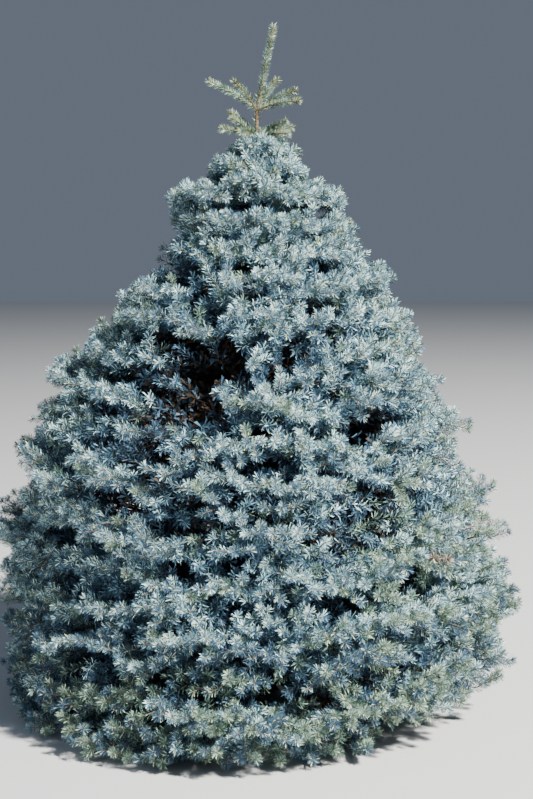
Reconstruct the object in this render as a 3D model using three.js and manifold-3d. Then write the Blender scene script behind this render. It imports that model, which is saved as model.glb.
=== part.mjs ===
// A young blue spruce rooted in the ground: one trunk with its leader, boughs in rising tiers, and a
// mass of foliage on each bough. Sizes are in millimetres, +Z is up, and the origin is the centre of
// the flat cut at ground level. Seen along +Y, the leader leans to the right.
import * as THREE from "three";
import { mergeVertices } from "three/addons/utils/BufferGeometryUtils.js";
import Module from "manifold-3d";

const wasm = await Module();
wasm.setup();

// Driving dimensions
const height = 2400; // ground to the tip of the leader
const topWhorlHeight = 2092; // where the trunk ends and the leader starts
const secondWhorlHeight = 2001;
const crownTop = 2050; // where the dense part of the crown would close
const spread = 925; // widest radius of the crown
const crownCurve = 0.88; // under 1 the crown swells, over 1 it is hollow-sided
const tuckHeight = 160; // below this the skirt draws in towards the ground
const footTuck = 0.33; // share of the radius drawn in at the ground where it is most
const tuckBearing = -35; // where that is, to the front and right
const tuckAround = 0.1; // what is left of it on the far side
const leftBulge = 0.16; // the crown is fuller on its left at chest height
const bulgeHeight = 960;
const bulgeDepth = 190;
const trunkFootRadius = 50;
const flareReach = 26; // how far the root flare stands out at the cut
const flareHeight = 130;
const flareRoots = 5;
const trunkTopRadius = 6;
const leaderLean = 62; // sideways reach of the leader's tip from the top whorl
const leaderForward = 12; // and its reach away from the front
const leaderBareLength = 45;
const leaderSprayWhorls = 6;
const leaderWhorlRise = 14; // how far above the trunk's end the leader's whorl of shoots leaves it
const youngSprayRadius = 26; // of the leader's and the open whorls' sprays
const youngSprayWhorls = 3;
const seat = 0.3; // clearance between a limb and what carries it
const groundClearance = 8;
const jointTolerance = 0.1; // facets smaller than this, where twigs join, are merged
const seed = 20732;

// Tiers from the ground up: the height of the lower face at the trunk, how steeply that face rises
// outwards, how many masses stand round the trunk, and the twig nodes on each mass's stem.
const tiers = [
  { name: "skirt", foot: groundClearance, rise: 0, masses: 6, turn: 10, nodes: 3, bough: true },
  { name: "low", foot: 250, rise: 0.04, masses: 6, turn: 45, nodes: 3, bough: true },
  { name: "lower", foot: 470, rise: 0.1, masses: 5, turn: 42, nodes: 3 },
  { name: "waist", foot: 700, rise: 0.18, masses: 5, turn: 2, nodes: 3 },
  { name: "middle", foot: 930, rise: 0.26, masses: 4, turn: 75, nodes: 3 },
  { name: "upper", foot: 1160, rise: 0.36, masses: 4, turn: 22, nodes: 2 },
  { name: "shoulder", foot: 1390, rise: 0.47, masses: 3, turn: 5, nodes: 2 },
  { name: "crown", foot: 1640, rise: 0.6, masses: 3, turn: 60, nodes: 2 },
];
const topFace = { foot: 1905, rise: 0.75 };
const tierWobble = 26; // how far a tier's faces wave up and down at the widest radius
const sectorGap = 9; // half of the gap between two masses of one tier
const tierGap = 6;

// Growth rule, shared by every mass
const boughShare = 0.4; // share of the crown's radius that is bare limb
const coreShare = 0.2; // share of the crown's radius where the dense core of a mass begins
const coreInset = 95; // how far the core stays inside the crown's skin
const coreInsetShare = 0.34; // the same as a share of the reach, where that is less
const coreThickness = 0.84; // share of the tier's thickness
const branchAngles = [58, 44, 30]; // between the stem and its twigs, from the first pair to the last
const boughRadius = 14;
const stemRadius = 9;
const twigRadius = 6;
const shootRadius = 4;
const whorlShootFoot = 1.5; // slim at the trunk's axis, so that neighbours stay apart
const whorlShootBare = 46;
const sprayRadius = 42;
const sprayLength = 250;
const sprayThroat = 0.34; // radius of a spray's core as a share of its needles' reach
const sprayNeedleReach = 0.86; // how far forward a whorl of needles reaches, in whorls
const sprayFullness = [0.86, 1, 0.78]; // of its first, middle and last whorls
const longestTwig = 700;
const twigTrim = 12; // a twig that leaves its space is tried again this much shorter
const twigSlack = 6; // a twig may pass the crown's skin by this
const firstTwigs = 0.42; // where twigs leave the stem, as shares of the reach
const lastTwigs = 0.78;
const endTwig = 250; // the stem's last twig starts this far inside the skin
const stemShortfall = 150; // the stem itself ends this far inside the skin
const stemLeastShare = 0.6; // but reaches at least this share of the reach
const stemShareOfTrunk = 0.45; // a stem is no thicker than this share of the trunk beside it
const stemTaper = 0.7;
const stemSway = 0.06; // how far, in radians, the stems wander to their sides
const swayLength = 140;
const raisedTwig = 16; // degrees above the tier's slope of every other side twig
const loweredTwig = -6; // and of those between
const upperTwig = 34; // and of the twigs that stand on the stem
const boughFoot = 12; // where a bough starts, inside the trunk that is cut out of it
const coreFootGap = 14;
const coreRoundness = 2.2; // 2 rounds the core's section off, more squares it
const coreWidth = 0.95; // share of the sector's half width that the core fills
const coreLumps = [0.75, 1.15]; // least and most thickness of the core's lumps
const oneWhorlBelow = 180; // a shorter twig has a single whorl of needles
const shortestTwig = 120;
const shortestShare = 0.45; // a twig may be this share of its mass's reach where that is shorter
const woodColour = 0x6b5646;
const needleColour = 0x8fa6ad;
const leaderColour = 0x9aa891;

const radians = THREE.MathUtils.degToRad;
const up = new THREE.Vector3(0, 0, 1);

// The same keys always draw the same number from 0 to 1, so a twig keeps its shape whatever else grows.
function draw(...keys) {
  let mixed = seed;
  for (const key of keys) {
    mixed = Math.imul(mixed ^ (key + 0x9e37), 0x85ebca6b) >>> 0;
    mixed = Math.imul(mixed ^ (mixed >>> 13), 0xc2b2ae35) >>> 0;
    mixed = (mixed ^ (mixed >>> 16)) >>> 0;
  }
  return mixed / 4294967296;
}

function between(low, high, ...keys) {
  return low + (high - low) * draw(...keys);
}

// Centre line of the trunk: a slight sweep, upright again at the top whorl.
const trunkLine = new THREE.CatmullRomCurve3([
  new THREE.Vector3(0, 0, 0),
  new THREE.Vector3(5, -4, 500),
  new THREE.Vector3(-3, 4, 1150),
  new THREE.Vector3(-6, 1, 1700),
  new THREE.Vector3(-4, 0, topWhorlHeight),
]);

function trunkCentre(z) {
  const share = THREE.MathUtils.clamp(z / topWhorlHeight, 0, 1);
  const at = trunkLine.getPoint(share);
  at.z = z;
  return at;
}

function trunkRadius(z, angle) {
  const taper = THREE.MathUtils.lerp(trunkFootRadius, trunkTopRadius, (z / topWhorlHeight) ** 0.85);
  const flare = flareReach * Math.max(0, 1 - z / flareHeight) ** 2;
  return taper + flare * (0.55 + 0.45 * Math.cos(flareRoots * angle));
}

// Outer radius of the crown, its skin, at a height and a direction round the trunk.
function crownRadius(z, angle) {
  const share = THREE.MathUtils.clamp(z / crownTop, 0, 1);
  const taper = spread * (1 - share ** 2) ** crownCurve;
  const facing = Math.max(0, Math.cos(angle - radians(tuckBearing))) ** 1.5;
  const drawn = footTuck * THREE.MathUtils.lerp(tuckAround, 1, facing);
  const tuck = 1 - drawn * Math.max(0, 1 - z / tuckHeight) ** 2;
  const leftness = Math.max(0, -Math.cos(angle));
  const bulge = 1 + leftBulge * leftness * Math.exp(-(((z - bulgeHeight) / bulgeDepth) ** 2));
  return taper * tuck * bulge;
}

// Height of the face between tier k - 1 and tier k.
function tierFace(k, radius, angle) {
  const { foot, rise } = k < tiers.length ? tiers[k] : topFace;
  const wave = k === 0 ? 0 : tierWobble * (radius / spread) * Math.sin(3 * angle + 2.1 * k);
  return foot + rise * radius + wave;
}

function tierMiddle(k, radius, angle) {
  return (tierFace(k, radius, angle) + tierFace(k + 1, radius, angle)) / 2;
}

// Radius at which the middle of a tier meets the crown's skin.
function tierReach(k, angle) {
  let inside = 0;
  let outside = 2 * spread;
  while (outside - inside > 0.5) {
    const radius = (inside + outside) / 2;
    if (radius < crownRadius(tierMiddle(k, radius, angle), angle)) inside = radius;
    else outside = radius;
  }
  return inside;
}

function polar(radius, angle, z) {
  return new THREE.Vector3(radius * Math.cos(angle), radius * Math.sin(angle), z);
}

// A closed limb through rings. Each ring has a centre, a radius (or a function of the angle) and a turn.
function limb(rings, sides) {
  const last = rings.length - 1;
  const geometry = new THREE.CylinderGeometry(1, 1, 1, sides, last);
  const position = geometry.attributes.position;
  const frames = rings.map((ring, i) => {
    const before = rings[Math.max(0, i - 1)].at;
    const after = rings[Math.min(last, i + 1)].at;
    const along = ring.along ?? after.clone().sub(before).normalize();
    const reference = Math.abs(along.z) > 0.9 ? new THREE.Vector3(1, 0, 0) : up;
    const across = new THREE.Vector3().crossVectors(reference, along).normalize();
    const beside = new THREE.Vector3().crossVectors(across, along);
    return { across, beside };
  });
  for (let i = 0; i < position.count; i++) {
    const level = Math.round((position.getY(i) + 0.5) * last);
    const ring = rings[level];
    const { across, beside } = frames[level];
    const angle = Math.atan2(position.getX(i), position.getZ(i)) + (ring.turn ?? 0);
    const reach = Math.hypot(position.getX(i), position.getZ(i)) > 0.5 ? 1 : 0;
    const radius = reach * (typeof ring.radius === "function" ? ring.radius(angle) : ring.radius);
    const at = ring.at.clone();
    at.addScaledVector(across, radius * Math.sin(angle));
    at.addScaledVector(beside, radius * Math.cos(angle));
    position.setXYZ(i, at.x, at.y, at.z);
  }
  return geometry;
}

// A closed geometry as a solid for cutting and joining, and back.
function solidOf(geometry) {
  const bare = new THREE.BufferGeometry();
  bare.setAttribute("position", geometry.attributes.position);
  bare.setIndex(geometry.index);
  const merged = mergeVertices(bare, 1e-3);
  const corners = merged.index.array;
  const kept = [];
  for (let i = 0; i < corners.length; i += 3) {
    const [a, b, c] = corners.slice(i, i + 3);
    if (a !== b && b !== c && c !== a) kept.push(a, b, c);
  }
  const mesh = new wasm.Mesh({
    numProp: 3,
    vertProperties: merged.attributes.position.array,
    triVerts: new Uint32Array(kept),
  });
  return new wasm.Manifold(mesh);
}

function geometryOf(solid) {
  const { numProp, numVert, vertProperties, triVerts } = solid.getMesh();
  const position = new Float32Array(numVert * 3);
  for (let i = 0; i < numVert; i++) {
    position.set(vertProperties.subarray(i * numProp, i * numProp + 3), i * 3);
  }
  const geometry = new THREE.BufferGeometry();
  geometry.setAttribute("position", new THREE.BufferAttribute(position, 3));
  geometry.setIndex(new THREE.BufferAttribute(triVerts, 1));
  return geometry;
}

// The largest piece of a solid, so that no loose scrap is left by a cut.
function mainPiece(solid) {
  return solid.decompose().reduce((best, piece) => (piece.volume() > best.volume() ? piece : best));
}

function trunkGeometry(clearance) {
  const levels = [0, 30, 70, 130, 300, 600, 950, 1300, 1600, 1850, 1980, topWhorlHeight];
  const rings = levels.map((z) => ({
    at: trunkCentre(z),
    along: up,
    radius: (angle) => trunkRadius(z, angle) + clearance,
  }));
  return limb(rings, 15);
}

const trunkCutter = solidOf(trunkGeometry(1.15 * seat));

// A twig ending in a spray: a slim three-sided core with needles standing forward from it in threes.
function sprayRings(from, direction, length, width, needles, stalk, leastBare = 0) {
  const bare = Math.max(leastBare, 0.12 * length, length - sprayLength);
  const place = (s) => from.clone().addScaledVector(direction, s);
  const rings = [{ at: place(0), along: direction, radius: stalk, turn: 0 }];
  const step = (length - bare) / (needles + 0.45);
  for (let i = 0; i < needles; i++) {
    const turn = (i % 2) * (Math.PI / 3);
    const wide = width * sprayFullness[Math.round((2 * i) / Math.max(1, needles - 1))];
    const foot = place(bare + (i - 0.1 * (i > 0)) * step);
    rings.push({ at: foot, along: direction, radius: sprayThroat * wide, turn });
    rings.push({ at: place(bare + (i + sprayNeedleReach) * step), along: direction, radius: wide, turn });
  }
  rings.push({ at: place(length), along: direction, radius: 0, turn: 0 });
  return rings;
}

// The space that one mass keeps to: a sector of its tier, out to the crown's skin.
function spaceOf(k, index) {
  const tier = tiers[k];
  const share = (2 * Math.PI) / tier.masses;
  const middle = radians(tier.turn) + index * share;
  const holds = (point, skinSlack) => {
    const radius = Math.hypot(point.x, point.y);
    const angle = Math.atan2(point.y, point.x);
    const off = Math.atan2(Math.sin(angle - middle), Math.cos(angle - middle));
    if (Math.abs(off) > share / 2) return false;
    if (radius * Math.sin(share / 2 - Math.abs(off)) < sectorGap) return false;
    if (point.z < tierFace(k, radius, angle) + tierGap) return false;
    if (point.z > tierFace(k + 1, radius, angle) - tierGap) return false;
    return radius < crownRadius(point.z, angle) + skinSlack;
  };
  return { k, index, middle, half: share / 2, holds };
}

function allInside(geometry, space, skinSlack) {
  const position = geometry.attributes.position;
  const point = new THREE.Vector3();
  for (let i = 0; i < position.count; i++) {
    if (!space.holds(point.fromBufferAttribute(position, i), skinSlack)) return false;
  }
  return true;
}

// The line that a bough and its mass's stem follow, out from the trunk along the middle of the tier.
function stemPoint(space, radius) {
  const angle = space.middle + stemSway * Math.sin(radius / swayLength + space.index);
  return polar(radius, angle, tierMiddle(space.k, radius, angle));
}

function headingAt(space, radius) {
  return stemPoint(space, radius + 5).sub(stemPoint(space, radius - 5)).normalize();
}

// The dense core of a mass: a lumpy pad, thick in the middle and thin at its rim.
function coreGeometry(space, inner, outer) {
  const columns = 5;
  const rows = 4;
  const spots = [];
  const faces = [];
  const thin = (share) => Math.sqrt(Math.max(0, 1 - Math.abs(2 * share - 1) ** coreRoundness));
  const rim = (i, j) => i === 0 || j === 0 || i === columns - 1 || j === rows - 1;
  for (const side of [1, -1]) {
    for (let j = 0; j < rows; j++) {
      for (let i = 0; i < columns; i++) {
        const across = i / (columns - 1);
        const out = j / (rows - 1);
        const bowed = 1 - 0.1 * Math.abs(2 * across - 1) ** 2;
        const radius = THREE.MathUtils.lerp(inner, outer * bowed, out);
        const width = space.half * (coreWidth - 0.1 * (1 - out)) - (1.4 * sectorGap) / radius;
        const angle = space.middle + (2 * across - 1) * width;
        const thickness = tierFace(space.k + 1, radius, angle) - tierFace(space.k, radius, angle);
        const lump = between(...coreLumps, space.k, space.index, i, j, side + 3);
        const lift = rim(i, j) ? 0 : side * 0.5 * coreThickness * thickness * lump;
        const centre = tierMiddle(space.k, radius, angle);
        const waver = rim(i, j) ? between(-0.1, 0.06, space.k, space.index, i, j) * thickness : 0;
        const at = polar(radius, angle, centre + waver + lift * thin(across) * Math.min(1, thin(out) + 0.25));
        spots.push(at.x, at.y, at.z);
      }
    }
  }
  const spot = (side, i, j) => (side > 0 || rim(i, j) ? 0 : columns * rows) + j * columns + i;
  for (const side of [1, -1]) {
    for (let j = 0; j < rows - 1; j++) {
      for (let i = 0; i < columns - 1; i++) {
        const [a, b] = [spot(side, i, j), spot(side, i + 1, j)];
        const [c, d] = [spot(side, i + 1, j + 1), spot(side, i, j + 1)];
        if (side > 0) faces.push(a, d, c, a, c, b);
        else faces.push(a, c, d, a, b, c);
      }
    }
  }
  const geometry = new THREE.BufferGeometry();
  geometry.setAttribute("position", new THREE.Float32BufferAttribute(spots, 3));
  geometry.setIndex(faces);
  return geometry;
}

// One twig with its spray: it grows out until it would leave the mass's space.
function growTwig(space, from, direction, needles, shortest, ...keys) {
  const width = sprayRadius * between(0.88, 1.08, ...keys, 5);
  let length = longestTwig;
  while (length >= shortest) {
    const whorls = length < oneWhorlBelow ? 1 : needles;
    const geometry = limb(sprayRings(from, direction, length, width, whorls, twigRadius), 3);
    if (allInside(geometry, space, twigSlack)) return geometry;
    length -= twigTrim;
  }
  return null;
}

// A mass: its stem, its pad, and twigs that leave the stem in pairs, tilting up and down by turns.
function massSolid(space, start) {
  const keys = [space.k, space.index];
  const reach = tierReach(space.k, space.middle);
  const tip = Math.max(reach - stemShortfall, stemLeastShare * reach);
  const thickness = Math.min(stemRadius, stemShareOfTrunk * trunkRadius(tierMiddle(space.k, 0, 0), 0));
  const stemRings = [0, 0.5, 1].map((share) => {
    const radius = THREE.MathUtils.lerp(start, tip, share);
    return { at: stemPoint(space, radius), radius: thickness * THREE.MathUtils.lerp(1, stemTaper, share) };
  });
  stemRings[0].along = headingAt(space, start);
  const parts = [solidOf(limb(stemRings, 4))];
  const shortest = Math.min(shortestTwig, shortestShare * reach);
  const inner = Math.max(start + coreFootGap, coreShare * reach);
  const outer = reach - Math.min(coreInset, coreInsetShare * reach);
  parts.push(solidOf(coreGeometry(space, inner, outer)));
  const nodes = tiers[space.k].nodes;
  const grow = (radius, sideways, rise, needles, ...more) => {
    const from = stemPoint(space, radius);
    const ahead = stemPoint(space, radius + 40).sub(from).normalize();
    const turned = ahead.applyAxisAngle(up, radians(sideways));
    const level = new THREE.Vector3(turned.x, turned.y, 0).normalize();
    const direction = level.multiplyScalar(Math.cos(radians(rise)));
    direction.z = Math.sin(radians(rise));
    const geometry = growTwig(space, from, direction, needles, shortest, ...keys, ...more);
    if (geometry) parts.push(solidOf(geometry));
  };
  const slope = THREE.MathUtils.radToDeg(Math.atan(tiers[space.k].rise));
  for (let n = 0; n < nodes; n++) {
    const radius = reach * THREE.MathUtils.lerp(firstTwigs, lastTwigs, n / Math.max(1, nodes - 1));
    for (const side of [-1, 1]) {
      const leaning = (n + (side > 0)) % 2 ? raisedTwig : loweredTwig;
      const tilt = leaning + between(-4, 4, ...keys, n, side + 1, 7);
      const sideways = branchAngles[n] + between(-6, 6, ...keys, n, side + 1, 8);
      grow(radius, side * sideways, slope + tilt, 2, n, side + 1);
    }
    const hidden = n < nodes - 2;
    if (!hidden) grow(0.96 * radius, between(-16, 16, ...keys, n, 9), slope + upperTwig, 2, n, 4);
  }
  grow(Math.max(reach - endTwig, firstTwigs * reach), loweredTwig, slope - loweredTwig, 3, 9, 1);
  return wasm.Manifold.union(parts).simplify(jointTolerance);
}

function boughSolid(space, end) {
  const rings = [0, 0.5, 1].map((share) => {
    const radius = THREE.MathUtils.lerp(boughFoot, end, share);
    return { at: stemPoint(space, radius), radius: THREE.MathUtils.lerp(boughRadius, stemRadius, share) };
  });
  rings[2].along = headingAt(space, end);
  return solidOf(limb(rings, 6));
}

// The leader with the whorl of shoots at its foot, all from one stem that stands on the trunk.
function leaderSolid() {
  const foot = trunkCentre(topWhorlHeight);
  foot.z += seat;
  const lean = new THREE.Vector3(leaderLean, leaderForward, height - topWhorlHeight).normalize();
  const length = (height - foot.z) / lean.z;
  const stem = [0, leaderBareLength].map((s) => ({
    at: foot.clone().addScaledVector(lean, s),
    radius: trunkTopRadius - 0.02 * s,
    turn: 0,
  }));
  stem[0].along = up;
  const parts = [solidOf(limb(stem, 6))];
  const tuft = (rise, direction, size, whorls) => {
    const from = foot.clone().addScaledVector(lean, rise);
    const rings = sprayRings(from, direction, size, youngSprayRadius, whorls, shootRadius);
    parts.push(solidOf(limb(rings, 3)));
  };
  const above = leaderBareLength - leaderWhorlRise;
  tuft(above, lean, length - above - 1e-3, leaderSprayWhorls);
  for (const shoot of leaderShoots) tuft(leaderWhorlRise, heading(shoot), shoot.length, youngSprayWhorls);
  return wasm.Manifold.union(parts).simplify(jointTolerance);
}

// Single shoots of the two open whorls: bearing round the trunk, rise above level, and length.
const leaderShoots = [
  { bearing: 177, rise: 31, length: 205 },
  { bearing: 232, rise: 36, length: 160 },
  { bearing: 335, rise: 10, length: 172 },
  { bearing: 10, rise: 28, length: 165 },
  { bearing: 48, rise: 47, length: 168 },
];
const secondShoots = [
  { bearing: 150, rise: 40, length: 148 },
  { bearing: 197, rise: 12, length: 137 },
  { bearing: 243, rise: 6, length: 122 },
  { bearing: 328, rise: 3, length: 137 },
  { bearing: 18, rise: 15, length: 144 },
];

function heading({ bearing, rise }) {
  const level = Math.cos(radians(rise));
  return polar(level, radians(bearing), Math.sin(radians(rise)));
}

function whorlShootSolid(shoot) {
  const from = trunkCentre(secondWhorlHeight);
  const [width, whorls] = [youngSprayRadius, youngSprayWhorls];
  const rings = sprayRings(from, heading(shoot), shoot.length, width, whorls, whorlShootFoot, whorlShootBare);
  return solidOf(limb(rings, 3)).subtract(trunkCutter);
}

const tree = new THREE.Group();

function addNode(name, solid, colour) {
  const material = new THREE.MeshStandardMaterial({ color: colour, roughness: 0.85, metalness: 0 });
  const mesh = new THREE.Mesh(geometryOf(mainPiece(solid)), material);
  mesh.name = name;
  tree.add(mesh);
}

addNode("trunk", solidOf(trunkGeometry(0)), woodColour);
tiers.forEach((tier, k) => {
  for (let index = 0; index < tier.masses; index++) {
    const space = spaceOf(k, index);
    const reach = tierReach(k, space.middle);
    if (tier.bough) {
      const end = boughShare * reach;
      addNode(`${tier.name}_bough_${index + 1}`, boughSolid(space, end).subtract(trunkCutter), woodColour);
      addNode(`${tier.name}_mass_${index + 1}`, massSolid(space, end + seat), needleColour);
    } else {
      addNode(`${tier.name}_mass_${index + 1}`, massSolid(space, 6).subtract(trunkCutter), needleColour);
    }
  }
});
secondShoots.forEach((shoot, i) => addNode(`whorl_shoot_${i + 1}`, whorlShootSolid(shoot), leaderColour));
addNode("leader", leaderSolid(), leaderColour);

export default tree;
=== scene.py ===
# A young blue spruce rooted in the ground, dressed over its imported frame.
# Metres, +Z is up, the trunk's flat cut lies round the origin, and the photograph looks along +Y.
import math

import bpy
import numpy as np
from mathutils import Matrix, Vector


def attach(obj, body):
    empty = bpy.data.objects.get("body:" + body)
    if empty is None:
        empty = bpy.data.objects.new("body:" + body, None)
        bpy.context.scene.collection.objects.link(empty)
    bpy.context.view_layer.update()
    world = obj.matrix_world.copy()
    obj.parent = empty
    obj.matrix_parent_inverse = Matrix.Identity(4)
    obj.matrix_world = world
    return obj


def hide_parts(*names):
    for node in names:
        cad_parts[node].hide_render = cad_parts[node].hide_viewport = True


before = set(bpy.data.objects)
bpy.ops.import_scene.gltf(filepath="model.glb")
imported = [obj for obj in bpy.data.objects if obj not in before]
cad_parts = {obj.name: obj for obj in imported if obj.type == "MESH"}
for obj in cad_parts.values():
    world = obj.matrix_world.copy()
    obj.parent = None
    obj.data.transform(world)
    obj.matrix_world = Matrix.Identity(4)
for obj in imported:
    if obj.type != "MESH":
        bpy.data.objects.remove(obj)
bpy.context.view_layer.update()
upward = Vector((0, 0, 1))
print("frame: %d nodes" % len(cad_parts))


# Camera, floor and light

view = {
    "distance": 5.0,
    "height": 1.6,
    "sideways": 0.03,  # the trunk stands a little left of the middle
    "pitch": 6.03,  # degrees below level
    "focalPixels": 1400,
    "frameHeight": 799,
    "sensorHeight": 24,
    "clipEnd": 200,
}


def placeCamera():
    camera = bpy.data.cameras.new("camera")
    camera.sensor_fit = "VERTICAL"
    camera.sensor_height = view["sensorHeight"]
    camera.lens = view["focalPixels"] / view["frameHeight"] * camera.sensor_height
    camera.dof.use_dof = False
    camera.clip_end = view["clipEnd"]
    eye = bpy.data.objects.new("camera", camera)
    eye.location = (view["sideways"], -view["distance"], view["height"])
    eye.rotation_euler = (math.radians(90 - view["pitch"]), 0, 0)
    bpy.context.scene.collection.objects.link(eye)
    bpy.context.scene.camera = eye


light = {
    "keyPlace": (10.2, -8.2, 13.8),  # to the right, in front and high
    "keySize": 1.3,
    "keyPower": 16900,
    "keyColour": (1.0, 0.955, 0.87),  # a little warm
    "fillPlace": (-4.4, -2.4, 2.6),
    "fillSize": 3.0,
    "fillPower": 40,
    "fillColour": (0.7, 0.84, 1.0),
    "skyColour": (0.66, 0.79, 1.0),
    "skyStrength": 0.2,
    "floorSize": 80,
    "floorColour": (0.5, 0.515, 0.54),
    "floorRoughness": 0.8,
    "aimHeight": 1.1,
}


def addAreaLight(name, place, size, power, colour):
    lamp = bpy.data.lights.new(name, "AREA")
    lamp.shape = "DISK"
    lamp.size = size
    lamp.energy = power
    lamp.color = colour
    stand = bpy.data.objects.new(name, lamp)
    stand.location = place
    aim = Vector((0, 0, light["aimHeight"])) - Vector(place)
    stand.rotation_euler = aim.to_track_quat("-Z", "Y").to_euler()
    bpy.context.scene.collection.objects.link(stand)


def plainMaterial(name, colour, roughness):
    material = bpy.data.materials.new(name)
    material.use_nodes = True
    surface = material.node_tree.nodes["Principled BSDF"]
    surface.inputs["Base Color"].default_value = (*colour, 1)
    surface.inputs["Roughness"].default_value = roughness
    return material


def lightStudio():
    addAreaLight("keyLight", light["keyPlace"], light["keySize"], light["keyPower"], light["keyColour"])
    addAreaLight("fillLight", light["fillPlace"], light["fillSize"], light["fillPower"], light["fillColour"])
    world = bpy.data.worlds.new("studio")
    world.use_nodes = True
    sky = world.node_tree.nodes["Background"]
    sky.inputs["Color"].default_value = (*light["skyColour"], 1)
    sky.inputs["Strength"].default_value = light["skyStrength"]
    bpy.context.scene.world = world
    bpy.ops.object.select_all(action="DESELECT")
    bpy.ops.mesh.primitive_plane_add(size=light["floorSize"], location=(0, 0, 0))
    floor = bpy.context.active_object
    floor.name = "floor"
    floor.data.materials.append(plainMaterial("paleFloor", light["floorColour"], light["floorRoughness"]))


placeCamera()
lightStudio()
print("camera, floor and light: done")


# Shape of the crown: the rule of the part's source, in metres

crown = {
    "seed": 20732,
    "closesAt": 2.05,  # height where the dense part would close
    "spread": 0.925,  # widest radius
    "curve": 0.88,  # under 1 the crown swells
    "tuckHeight": 0.16,  # below this it draws in towards the ground
    "footTuck": 0.33,  # share of the radius drawn in at the ground where it is most
    "tuckBearing": -35,  # where that is
    "tuckAround": 0.1,  # what is left of it on the far side
    "tuckFocus": 1.5,  # how narrowly it faces its bearing
    "leftBulge": 0.16,  # how much fuller the crown is on its left, most at the next height
    "bulgeHeight": 0.96,
    "bulgeDepth": 0.19,
    "tierWobble": 0.026,  # how far the faces between the tiers wave up and down
    "tierWaves": 3,
    "waveShift": 2.1,  # from tier to tier
    "stemSway": 0.06,  # how far a stem swings to the sides
    "stemBend": 0.14,
    "boughShare": 0.4,  # where a bough enters its mass, as a share of the reach
    "reachTolerance": 0.0005,
}
tiers = [
    {"name": name, "foot": foot, "rise": rise, "masses": masses, "turn": turn}
    for name, foot, rise, masses, turn in (
        ("skirt", 0.008, 0.0, 6, 10), ("low", 0.25, 0.04, 6, 45), ("lower", 0.47, 0.1, 5, 42),
        ("waist", 0.7, 0.18, 5, 2), ("middle", 0.93, 0.26, 4, 75), ("upper", 1.16, 0.36, 4, 22),
        ("shoulder", 1.39, 0.47, 3, 5), ("crown", 1.64, 0.6, 3, 60),
    )
]
topFace = {"foot": 1.905, "rise": 0.75}


def draw(*keys):
    # the same keys always draw the same number from 0 to 1, as in the part's source
    mixed = crown["seed"]
    for key in keys:
        mixed = ((mixed ^ (key + 0x9E37)) * 0x85EBCA6B) & 0xFFFFFFFF
        mixed = ((mixed ^ (mixed >> 13)) * 0xC2B2AE35) & 0xFFFFFFFF
        mixed = mixed ^ (mixed >> 16)
    return mixed / 4294967296


def between(low, high, *keys):
    return low + (high - low) * draw(*keys)


def lerp(low, high, share):
    return low + (high - low) * share


def skinRadius(z, angle):
    # outer radius of the crown at a height and a direction round the trunk
    share = min(1, max(0, z / crown["closesAt"]))
    taper = crown["spread"] * (1 - share**2) ** crown["curve"]
    facing = max(0, math.cos(angle - math.radians(crown["tuckBearing"]))) ** crown["tuckFocus"]
    drawn = crown["footTuck"] * lerp(crown["tuckAround"], 1, facing)
    tuck = 1 - drawn * max(0, 1 - z / crown["tuckHeight"]) ** 2
    leftness = max(0, -math.cos(angle))
    rise = (z - crown["bulgeHeight"]) / crown["bulgeDepth"]
    return taper * tuck * (1 + crown["leftBulge"] * leftness * math.exp(-(rise**2)))


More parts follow.
